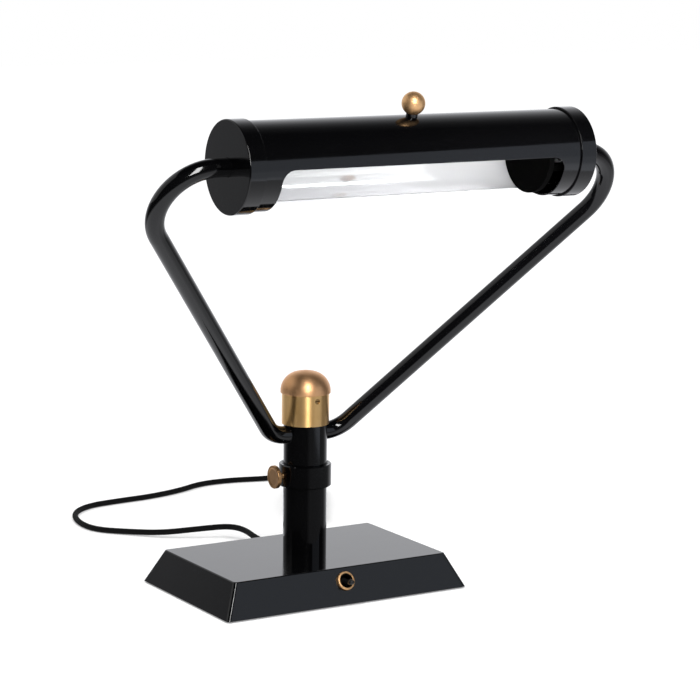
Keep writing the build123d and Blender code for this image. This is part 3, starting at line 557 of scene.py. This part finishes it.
def make_shade():
    """Tube with a rounded window: a grid of rows along X and columns round the axis.

    Each row's solid columns run from one side of the window to the other the long way round, so
    they follow the window's outline; the other columns cross the window and have faces only past
    its ends. The rim is a rounded section, from the outer wall to the inner one, carried round the
    window's outline.
    """
    low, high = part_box("shade_tube")
    outer = (high.z - low.z) / 2
    inner = outer - SHADE_WALL
    axis_y, axis_z = middle_of(low, high)[1:]

    def placed(x, angles, radius):
        """Points at x, by angle and radius round the shade's axis."""
        return np.stack([x, axis_y + radius * np.cos(angles), axis_z + radius * np.sin(angles)], -1)

    def outward(angles):
        """Directions straight out from the axis."""
        return np.stack([np.zeros_like(angles), np.cos(angles), np.sin(angles)], -1)

    # Rows from the middle to one end, and half the angle that the window takes up in each
    corner = WINDOW_CORNER + SHADE_EDGE
    straight = WINDOW_HALF - WINDOW_CORNER
    turn = np.linspace(0, np.pi / 2, CORNER_ROWS)
    side_x = np.linspace(0, straight, STRAIGHT_ROWS)[:-1]
    corner_x = straight + corner * np.sin(turn)
    end_x = np.linspace(corner_x[-1], high.x, END_ROWS)[1:]
    half_x = np.concatenate([side_x, corner_x, end_x])
    drawn_in = np.pad(corner * (1 - np.cos(turn)), (len(side_x), len(end_x)), mode="edge")
    half_span = WINDOW_SPAN / 2 + (SHADE_EDGE - drawn_in) / outer
    x = np.concatenate([-half_x[:0:-1], half_x])
    span = np.concatenate([half_span[:0:-1], half_span])[:, None]

    # Both walls, without the faces inside the window
    middle = WINDOW_START + WINDOW_SPAN / 2
    f = np.linspace(0, 1, SOLID_COLUMNS)
    g = np.linspace(0, 1, CROSSING_COLUMNS + 2)[1:-1]
    around = middle + span + f * (2 * np.pi - 2 * span)
    across = middle + 2 * np.pi - span + g * 2 * span
    angle = np.concatenate([around, across], axis=1)
    grid_x = np.broadcast_to(x[:, None], angle.shape)
    rows, columns = angle.shape
    count = rows * columns
    index = np.arange(count).reshape(rows, columns)
    first = len(end_x)
    last = rows - 1 - first
    kept = np.ones((rows - 1, columns), bool)
    kept[first:last, SOLID_COLUMNS - 1:] = False
    wall = quads_between(index)[kept]

    # Outline of the window, with the direction into it along X and round the axis
    crossing = np.arange(SOLID_COLUMNS, columns)
    near_side = index[first:last + 1, 0]
    far_side = index[first:last + 1, SOLID_COLUMNS - 1]
    loop = np.concatenate([near_side, index[last, crossing[::-1]],
                           far_side[::-1], index[first, crossing]])
    lean = np.clip((np.abs(x) - straight) / corner, 0, 1)
    side_way = np.column_stack([-np.sign(x) * lean, -np.sqrt(1 - lean ** 2)])[first:last + 1]
    end_way = np.tile([1.0, 0.0], (CROSSING_COLUMNS, 1))
    inward = np.concatenate([side_way, -end_way, side_way[::-1] * [1, -1], end_way])

    # Rim: two quarter rounds, without the points that lie on the walls
    quarter = np.linspace(0, np.pi / 2, RIM_STEPS)
    tilt = np.concatenate([quarter, np.pi / 2 + quarter])[1:-1, None]
    offset = SHADE_EDGE * np.concatenate([np.sin(quarter), np.cos(quarter)])[1:-1, None]
    outer_level = outer - SHADE_EDGE * (1 - np.cos(quarter))
    inner_level = inner + SHADE_EDGE * (1 - np.sin(quarter))
    level = np.concatenate([outer_level, inner_level])[1:-1, None]
    rim_x = grid_x.ravel()[loop] + offset * inward[:, 0]
    rim_angle = angle.ravel()[loop] + offset * inward[:, 1] / outer
    rim = placed(rim_x, rim_angle, level).reshape(-1, 3)
    tangent = np.stack([np.zeros_like(rim_angle), -np.sin(rim_angle), np.cos(rim_angle)], -1)
    towards = inward[None, :, :1] * ALONG_X + inward[None, :, 1:] * tangent
    rim_normal = np.cos(tilt)[..., None] * outward(rim_angle) + np.sin(tilt)[..., None] * towards
    rim_index = 2 * count + np.arange(len(rim)).reshape(-1, len(loop))
    rim_quads = quads_between(np.vstack([loop, rim_index, loop + count])).reshape(-1, 4)

    ends = [quads_between(np.stack([row, row + count]))[0] for row in (index[0], index[-1])]
    faces = np.concatenate([wall, wall[:, ::-1] + count, rim_quads, ends[0][:, ::-1], ends[1]])
    walls = [placed(grid_x, angle, radius).reshape(-1, 3) for radius in (outer, inner)]
    points = np.concatenate([*walls, rim])
    wall_normal = outward(angle).reshape(-1, 3)
    normals = np.concatenate([wall_normal, -wall_normal, rim_normal.reshape(-1, 3)])
    used, faces = np.unique(faces, return_inverse=True)
    mesh = smooth_mesh("window_shade", points[used], faces.reshape(-1, 4).tolist(), normals[used])
    piece("window_shade", mesh, "shade", "black_enamel", "shade_tube")


def make_edging():
    """Thin bright strip on the lower rim of the window: a rounded section carried along X."""
    low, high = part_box("shade_tube")
    outer = (high.z - low.z) / 2 - EDGING_GAP
    inner = outer - EDGING_WIDTH
    near = EDGING_GAP
    far = EDGING_GAP + EDGING
    corners = [(inner, near), (outer, near), (outer, far), (inner, far)]
    section = rounded(corners, EDGING_ROUND, steps=5)
    angle = WINDOW_START + WINDOW_SPAN
    out = np.array([0, math.cos(angle), math.sin(angle)])
    back = np.array([0, math.sin(angle), -math.cos(angle)])
    origin = middle_of(low, high) * [0, 1, 1]
    ring = origin + section[:, :1] * out + section[:, 1:] * back
    reach = WINDOW_HALF - WINDOW_CORNER
    x = np.linspace(-reach, reach, EDGING_ROWS)
    rings = ring[None] + x[:, None, None] * ALONG_X
    piece("window_edging", ring_mesh("window_edging", rings), "shade", "mirror_sheet")


def make_knob():
    """Turned dome, hollow for the stud: a short lip, then a side arc and a flatter top arc.

    The two arcs meet tangentially, at the angle of the line through their centres.
    """
    low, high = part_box("clamp_knob")
    radius = high.x
    lip = low.z + KNOB_LIP
    crown = high.z - lip
    shoulder = (2 * KNOB_TOP_R * crown - radius ** 2 - crown ** 2) / (2 * (KNOB_TOP_R - radius))
    side = radius - shoulder
    meet = math.atan2(KNOB_TOP_R - crown, side)
    a = np.linspace(0, meet, KNOB_SIDE_STEPS)
    b = np.linspace(meet, KNOB_POLE, KNOB_TOP_STEPS)[1:]
    wall = np.column_stack([side + shoulder * np.cos(a), lip + shoulder * np.sin(a)])
    top = np.column_stack([KNOB_TOP_R * np.cos(b), high.z - KNOB_TOP_R + KNOB_TOP_R * np.sin(b)])
    socket = low.z + STUD_IN_KNOB
    corners = [(SOCKET_POLE_R, socket), (STUD_R, socket), (STUD_R, low.z),
               (radius, low.z), (radius, lip)]
    foot = rounded(corners, KNOB_ROUNDINGS, closed=False)
    outline = np.vstack([foot[:-1], wall, top])
    rings = turned(outline, (0, 0, 0), (0, 0, 1), (1, 0, 0), segments=128)
    piece("dome_knob", ring_mesh("dome_knob", rings), "knob", "knob_brass", "clamp_knob")


def make_thumb_screw():
    """Turned coin on a shank, its face dished a little inside a raised rim."""
    low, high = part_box("thumb_screw")
    coin = (high.z - low.z) / 2
    face = -low.x
    back = face - COIN_THICKNESS
    dish = face - COIN_DISH
    corners = [(SHANK_R, -high.x), (SHANK_R, back), (coin, back), (coin, face),
               (coin * COIN_RIM, face), (coin * COIN_FLOOR, dish), (COIN_POLE_R, dish)]
    outline = rounded(corners, COIN_ROUNDINGS, closed=False)
    origin = middle_of(low, high) * [0, 0, 1]
    rings = turned(outline, origin, (-1, 0, 0), (0, 0, 1), segments=72)
    piece("coin_screw", ring_mesh("coin_screw", rings), "thumb", "thumb_brass", "thumb_screw")


def make_ring_nut():
    """Turned ring round the switch lever, its outer edge a wide curve."""
    low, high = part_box("switch_ring_nut")
    radius = (high.x - low.x) / 2
    axis = (0, -math.cos(SLOPE_ANGLE), math.sin(SLOPE_ANGLE))
    lip = NUT_HEIGHT - NUT_LIP
    corners = [(NUT_SEAT_HOLE, 0), (radius, 0), (radius, NUT_HEIGHT), (NUT_HOLE, NUT_HEIGHT),
               (NUT_HOLE, lip), (NUT_SEAT_HOLE, lip)]
    outline = rounded(corners, NUT_ROUNDINGS, steps=8)
    rings = turned(outline, SWITCH_SEAT, axis, (1, 0, 0), segments=72)
    mesh = ring_mesh("bush_ring", rings, loop=True)
    piece("bush_ring", mesh, "base", "ball_brass", "switch_ring_nut")


def new_finish(slot, values):
    """Material for a slot, with its constant values set on the shader's own sockets."""
    material = bpy.data.materials.new(slot + "_finish")
    material.use_nodes = True
    shader = material.node_tree.nodes["Principled BSDF"]
    for socket, value in values.items():
        shader.inputs[socket].default_value = value
    return material, material.node_tree, shader


def on_object(tree, stretch=(1, 1, 1)):
    """Object coordinates, scaled along each axis."""
    place = tree.nodes.new("ShaderNodeTexCoord")
    mapping = tree.nodes.new("ShaderNodeMapping")
    mapping.inputs["Scale"].default_value = stretch
    tree.links.new(place.outputs["Object"], mapping.inputs["Vector"])
    return mapping.outputs["Vector"]


def noise(tree, vector, scale, detail=3.0, roughness=0.5):
    """Noise value on a vector."""
    node = tree.nodes.new("ShaderNodeTexNoise")
    node.inputs["Scale"].default_value = scale
    node.inputs["Detail"].default_value = detail
    node.inputs["Roughness"].default_value = roughness
    tree.links.new(vector, node.inputs["Vector"])
    return node.outputs["Fac"]


def spread(tree, value, given, wanted):
    """Value moved from one range to another, held at the ends."""
    node = tree.nodes.new("ShaderNodeMapRange")
    for socket, number in zip(("From Min", "From Max", "To Min", "To Max"), (*given, *wanted)):
        node.inputs[socket].default_value = number
    tree.links.new(value, node.inputs["Value"])
    return node.outputs["Result"]


def tint(tree, share, first, second):
    """Colour between two colours, by share; the first may come from another node."""
    node = tree.nodes.new("ShaderNodeMix")
    node.data_type = "RGBA"
    tree.links.new(share, node.inputs[0])
    if isinstance(first, tuple):
        node.inputs[6].default_value = first
    else:
        tree.links.new(first, node.inputs[6])
    node.inputs[7].default_value = second
    return node.outputs[2]


def joined(tree, operation, first, second):
    """Two values put together by a maths operation."""
    node = tree.nodes.new("ShaderNodeMath")
    node.operation = operation
    tree.links.new(first, node.inputs[0])
    tree.links.new(second, node.inputs[1])
    return node.outputs[0]


def from_origin(tree, stretch=(1, 1, 1)):
    """Distance from the origin, in object coordinates scaled along each axis."""
    node = tree.nodes.new("ShaderNodeVectorMath")
    node.operation = "LENGTH"
    tree.links.new(on_object(tree, stretch), node.inputs[0])
    return node.outputs["Value"]


def bumped(tree, shader, height, strength, distance):
    """Bump from a height value on the shader's normal."""
    node = tree.nodes.new("ShaderNodeBump")
    node.inputs["Strength"].default_value = strength
    node.inputs["Distance"].default_value = distance
    tree.links.new(height, node.inputs["Height"])
    tree.links.new(node.outputs["Normal"], shader.inputs["Normal"])


def enamel(slot, dust, peel):
    """Stoved gloss enamel: faint orange peel, uneven gloss and a few specks of dust."""
    material, tree, shader = new_finish(slot, {"Specular IOR Level": 0.5})
    place = on_object(tree)
    specks = spread(tree, noise(tree, place, scale=900, detail=2), SPECK_RANGE, (0, dust))
    uneven = noise(tree, place, scale=35, detail=4)
    tree.links.new(tint(tree, specks, ENAMEL_BLACK, DUST_COLOUR), shader.inputs["Base Color"])
    tree.links.new(spread(tree, uneven, NOISE_RANGE, ENAMEL_GLOSS), shader.inputs["Roughness"])
    bumped(tree, shader, noise(tree, place, scale=420, detail=2), strength=peel, distance=0.0004)
    return material


def brass(slot, bright, dark, gloss, turned_lines=0.0, recess=None):
    """Satin brass with patches of patina.

    On turned pieces the fine lines run round Z and draw highlights out; within the recess radius
    the colour is darkened as painted shade for the recess.
    """
    material, tree, shader = new_finish(slot, {"Metallic": 1.0})
    patches = noise(tree, on_object(tree), scale=60, detail=5, roughness=0.6)
    colour = tint(tree, spread(tree, patches, PATINA_RANGE, (0, 1)), bright, dark)
    stretched = on_object(tree, TURNED_LINES if turned_lines else EVEN_GRAIN)
    fine = noise(tree, stretched, scale=1.0, detail=3, roughness=0.6)
    tree.links.new(spread(tree, fine, NOISE_RANGE, gloss), shader.inputs["Roughness"])
    # Painted shade: inside the recess radius the colour darkens, standing in for shadow in the
    # screw recess
    if recess:
        from_z_axis = from_origin(tree, (1, 1, 0))
        recess_shade = spread(tree, from_z_axis, (recess - RECESS_SHADE_FADE, recess), (RECESS_SHADE_SHARE, 0))
        colour = tint(tree, recess_shade, colour, RECESS_SHADE_COLOUR)
    tree.links.new(colour, shader.inputs["Base Color"])
    if turned_lines:
        tangent = tree.nodes.new("ShaderNodeTangent")
        tangent.direction_type = "RADIAL"
        tangent.axis = "Z"
        tree.links.new(tangent.outputs[0], shader.inputs["Tangent"])
        shader.inputs["Anisotropic"].default_value = turned_lines
        shader.inputs["Anisotropic Rotation"].default_value = 0.25
    else:
        bumped(tree, shader, fine, strength=0.01, distance=0.0001)
    return material


def grained(slot, values, grain, colours, relief, gloss=None):
    """Finish with one noise in its colour, its bump and, where gloss is given, its roughness.

    grain is the noise's scale, detail and roughness, and relief the bump's strength and distance.
    """
    material, tree, shader = new_finish(slot, values)
    share = noise(tree, on_object(tree), *grain)
    tree.links.new(tint(tree, share, *colours), shader.inputs["Base Color"])
    if gloss:
        tree.links.new(spread(tree, share, NOISE_RANGE, gloss), shader.inputs["Roughness"])
    bumped(tree, shader, share, *relief)
    return material


def times(colour, factor):
    """Opaque colour, each part times a factor."""
    return tuple(factor * part for part in colour[:3]) + (1,)


def bare_metal(slot, colour, gloss):
    """Plain machined metal with fine, even grain."""
    return grained(slot, {"Metallic": 1.0}, grain=(900, 4, 0.5),
                   colours=(colour, times(colour, 0.8)), relief=(0.1, 0.0001), gloss=gloss)


def moulded(slot, colour, gloss, depth=0.15, shine=0.5):
    """Moulded plastic or rubber with a fine matt grain."""
    return grained(slot, {"Specular IOR Level": shine}, grain=(700, 3, 0.5),
                   colours=(colour, times(colour, 1.4)), relief=(depth, 0.0002), gloss=gloss)


def felt_cloth(slot):
    """Pressed felt: matted fibres and a soft sheen."""
    values = {"Roughness": 0.95, "Sheen Weight": 0.3, "Sheen Roughness": 0.5}
    colours = ((0.006, 0.006, 0.006, 1), (0.03, 0.03, 0.031, 1))
    return grained(slot, values, grain=(1600, 6, 0.7), colours=colours, relief=(0.8, 0.0004))


def strap_cloth(slot):
    """Loop-pile strap: short matted pile."""
    values = {"Roughness": 0.9, "Sheen Weight": 0.3}
    colours = ((0.005, 0.005, 0.005, 1), (0.035, 0.035, 0.036, 1))
    return grained(slot, values, grain=(2500, 4, 0.7), colours=colours, relief=(0.8, 0.0003))


def cast_iron(slot):
    """Rough dark casting."""
    colours = ((0.05, 0.05, 0.052, 1), (0.12, 0.115, 0.11, 1))
    return grained(slot, {"Metallic": 0.7}, grain=(700, 6, 0.7), colours=colours,
                   relief=(0.5, 0.0004), gloss=(0.5, 0.8))


def braid(slot):
    """Braided cotton cover: two sets of carriers that cross, from the cord's own map."""
    values = {"Roughness": 0.85, "Specular IOR Level": 0.15, "Sheen Weight": 0.02,
              "Sheen Roughness": 0.4}
    material, tree, shader = new_finish(slot, values)
    place = tree.nodes.new("ShaderNodeUVMap")
    place.uv_map = BRAID_MAP
    ways = []
    for turn in (math.pi / 4, -math.pi / 4):
        mapping = tree.nodes.new("ShaderNodeMapping")
        mapping.inputs["Rotation"].default_value = (0, 0, turn)
        wave = tree.nodes.new("ShaderNodeTexWave")
        wave.inputs["Scale"].default_value = 0.45
        wave.inputs["Distortion"].default_value = 0.4
        tree.links.new(place.outputs["UV"], mapping.inputs["Vector"])
        tree.links.new(mapping.outputs["Vector"], wave.inputs["Vector"])
        ways.append(wave.outputs["Fac"])
    woven = joined(tree, "MAXIMUM", *ways)
    colour = tint(tree, woven, (0.0006, 0.0006, 0.0006, 1), (0.005, 0.005, 0.0052, 1))
    tree.links.new(colour, shader.inputs["Base Color"])
    bumped(tree, shader, woven, strength=0.7, distance=0.0003)
    return material


def polished_sheet(slot):
    """Bright rolled aluminium: part mirror, part matt white, with fine rolling lines along X."""
    values = {"Metallic": 0.6, "Base Color": (0.88, 0.88, 0.89, 1)}
    material, tree, shader = new_finish(slot, values)
    lines = noise(tree, on_object(tree, ROLLED_LINES), scale=1.0, detail=3)
    tree.links.new(spread(tree, lines, NOISE_RANGE, (0.0, 0.006)), shader.inputs["Roughness"])
    bumped(tree, shader, lines, strength=0.003, distance=0.0001)
    return material


def lamp_glass(slot):
    """Clear lamp glass, a little uneven."""
    values = {"Transmission Weight": 1.0, "IOR": 1.5, "Base Color": (0.97, 0.98, 0.97, 1)}
    material, tree, shader = new_finish(slot, values)
    uneven = noise(tree, on_object(tree), scale=90, detail=4)
    tree.links.new(spread(tree, uneven, NOISE_RANGE, (0.0, 0.03)), shader.inputs["Roughness"])
    return material


def make_finishes():
    """Every slot's finish, by the slot's name."""
    made = [
        enamel("base_enamel", dust=0.25, peel=0.05),
        enamel("black_enamel", dust=0.12, peel=0.03),
        enamel("cap_enamel", dust=0.12, peel=0.02),
        moulded("plate_enamel", (0.02, 0.02, 0.021, 1), gloss=(0.4, 0.5)),
        # The recess radius sets where painted shade darkens the ring's screw recess
        brass("ring_brass", bright=(0.92, 0.59, 0.25, 1), dark=(0.84, 0.51, 0.19, 1),
              gloss=(0.36, 0.42), turned_lines=0.85, recess=0.0173),
        brass("knob_brass", bright=(0.92, 0.54, 0.28, 1), dark=(0.82, 0.45, 0.21, 1),
              gloss=(0.42, 0.48), turned_lines=0.4),
        brass("thumb_brass", bright=(0.52, 0.30, 0.14, 1), dark=(0.40, 0.22, 0.10, 1),
              gloss=(0.34, 0.46)),
        brass("ball_brass", bright=(0.95, 0.60, 0.30, 1), dark=(0.86, 0.50, 0.23, 1),
              gloss=(0.44, 0.52)),
        brass("plain_brass", bright=(0.34, 0.17, 0.06, 1), dark=(0.22, 0.11, 0.035, 1),
              gloss=(0.25, 0.35)),
        moulded("lever_black", (0.006, 0.006, 0.006, 1), gloss=(0.12, 0.2), depth=0.03),
        bare_metal("steel", (0.55, 0.55, 0.56, 1), gloss=(0.25, 0.4)),
        cast_iron("ballast_iron"),
        felt_cloth("felt"),
        polished_sheet("mirror_sheet"),
        lamp_glass("lamp_glass"),
        bare_metal("lamp_metal", (0.7, 0.7, 0.71, 1), gloss=(0.2, 0.35)),
        moulded("holder_plastic", (0.0005, 0.0005, 0.0005, 1), gloss=(0.75, 0.85), shine=0.02),
        braid("cord_cover"),
        strap_cloth("tie_strap"),
        moulded("lead_rubber", (0.008, 0.008, 0.008, 1), gloss=(0.45, 0.6)),
    ]
    return {material.name.removesuffix("_finish"): material for material in made}


def direct_ray(tree):
    """1 for a ray from the camera, also through glass, and 0 for any other."""
    rays = tree.nodes.new("ShaderNodeLightPath").outputs
    return joined(tree, "MAXIMUM", rays["Is Camera Ray"], rays["Is Transmission Ray"])


def make_floor():
    """White table top that keeps the lamp's shadow; the camera sees it lifted to white."""
    mesh = bpy.data.meshes.new("floor")
    corners = [(-FLOOR, -FLOOR, FLOOR_Z), (FLOOR, -FLOOR, FLOOR_Z), (FLOOR, FLOOR, FLOOR_Z),
               (-FLOOR, FLOOR, FLOOR_Z)]
    mesh.from_pydata(corners, [], [(0, 1, 2, 3)])
    floor = bpy.data.objects.new("floor", mesh)
    bpy.context.scene.collection.objects.link(floor)
    floor.visible_glossy = False
    material = bpy.data.materials.new("white_table")
    material.use_nodes = True
    tree = material.node_tree
    tree.nodes.clear()
    matt = tree.nodes.new("ShaderNodeBsdfDiffuse")
    matt.inputs["Color"].default_value = (FLOOR_COLOUR, FLOOR_COLOUR, FLOOR_COLOUR, 1)
    lift = tree.nodes.new("ShaderNodeEmission")
    strength = spread(tree, from_origin(tree), LIFT_REACH, FLOOR_LIFT)
    tree.links.new(joined(tree, "MULTIPLY", direct_ray(tree), strength), lift.inputs["Strength"])
    both = tree.nodes.new("ShaderNodeAddShader")
    out = tree.nodes.new("ShaderNodeOutputMaterial")
    tree.links.new(matt.outputs[0], both.inputs[0])
    tree.links.new(lift.outputs[0], both.inputs[1])
    tree.links.new(both.outputs[0], out.inputs["Surface"])
    mesh.materials.append(material)


def share_along(tree, ray, direction):
    """How far a ray points along a direction, -1 to 1."""
    node = tree.nodes.new("ShaderNodeVectorMath")
    node.operation = "DOT_PRODUCT"
    node.inputs[1].default_value = direction
    tree.links.new(ray, node.inputs[0])
    return node.outputs["Value"]


def background(tree, colour):
    """World shader of one colour."""
    node = tree.nodes.new("ShaderNodeBackground")
    node.inputs["Color"].default_value = colour
    return node


def mixed(tree, share, first, second):
    """Shader between two shaders, by share."""
    node = tree.nodes.new("ShaderNodeMixShader")
    tree.links.new(share, node.inputs[0])
    tree.links.new(first, node.inputs[1])
    tree.links.new(second, node.inputs[2])
    return node.outputs[0]


def make_world():
    """Studio by direction: white to the camera and even for soft light.

    Reflections show it bright behind the lamp and at the table, and dark towards the camera and
    overhead.
    """
    world = bpy.data.worlds.new("studio")
    bpy.context.scene.world = world
    world.use_nodes = True
    tree = world.node_tree
    tree.nodes.clear()
    ray = tree.nodes.new("ShaderNodeTexCoord").outputs["Generated"]
    yaw = math.radians(CAMERA_YAW)
    behind = share_along(tree, ray, (math.sin(yaw), math.cos(yaw), 0))
    right = share_along(tree, ray, (math.cos(yaw), -math.sin(yaw), 0))
    up = share_along(tree, ray, (0, 0, 1))
    ramp = tree.nodes.new("ShaderNodeValToRGB")
    stops = ramp.color_ramp.elements
    while len(stops) < len(STUDIO_LEVELS):
        stops.new(0.5)
    for stop, (where, level) in zip(stops, STUDIO_LEVELS):
        stop.position = where
        stop.color = (level, level, level, 1)
    tree.links.new(spread(tree, behind, (-1, 1), (0, 1)), ramp.inputs["Fac"])
    backdrop = joined(tree, "MULTIPLY", ramp.outputs["Color"],
                      spread(tree, up, BACKDROP_TOP, (1, 0)))
    table = joined(tree, "MULTIPLY", spread(tree, up, TABLE_SEEN, (0, 1)),
                   spread(tree, right, TABLE_RIGHT, (1, TABLE_RIGHT_LEVEL)))
    side = joined(tree, "MULTIPLY", spread(tree, right, SIDE_SEEN, (0, SIDE_LEVEL)),
                  spread(tree, up, SIDE_LOW, (0, 1)))
    studio = background(tree, STUDIO_TINT)
    brightest = joined(tree, "MAXIMUM", joined(tree, "MAXIMUM", backdrop, side), table)
    tree.links.new(brightest, studio.inputs["Strength"])
    soft = background(tree, WHITE)
    soft.inputs["Strength"].default_value = ROOM_LEVEL
    white = background(tree, WHITE)
    glossy = tree.nodes.new("ShaderNodeLightPath").outputs["Is Glossy Ray"]
    reflected = mixed(tree, glossy, soft.outputs[0], studio.outputs[0])
    seen = mixed(tree, direct_ray(tree), reflected, white.outputs[0])
    out = tree.nodes.new("ShaderNodeOutputWorld")
    tree.links.new(seen, out.inputs["Surface"])


def make_lamps():
    """Softboxes and cards as area lights that the camera doesn't see."""
    for name, place, aim, size, power, colour in SOFTBOXES:
        data = bpy.data.lights.new(name, "AREA")
        data.shape = "RECTANGLE"
        data.size, data.size_y = size
        data.energy = power
        data.color = colour
        lamp = bpy.data.objects.new(name, data)
        bpy.context.scene.collection.objects.link(lamp)
        lamp.location = place
        lamp.rotation_euler = (Vector(aim) - Vector(place)).to_track_quat("-Z", "Y").to_euler()
        lamp.visible_camera = False
        lamp.visible_glossy = name not in UNREFLECTED


make_camera()
finishes = make_finishes()
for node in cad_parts.values():
    for slot in node.material_slots:
        slot.material = finishes[slot.material.name]
cord, cord_line = make_cord()
strap = make_strap()
make_felt()
make_relief()
make_cap("left")
make_cap("right")
make_shade()
make_edging()
make_knob()
make_thumb_screw()
make_ring_nut()
make_floor()
make_world()
make_lamps()

bpy.context.scene.view_settings.view_transform = "Standard"
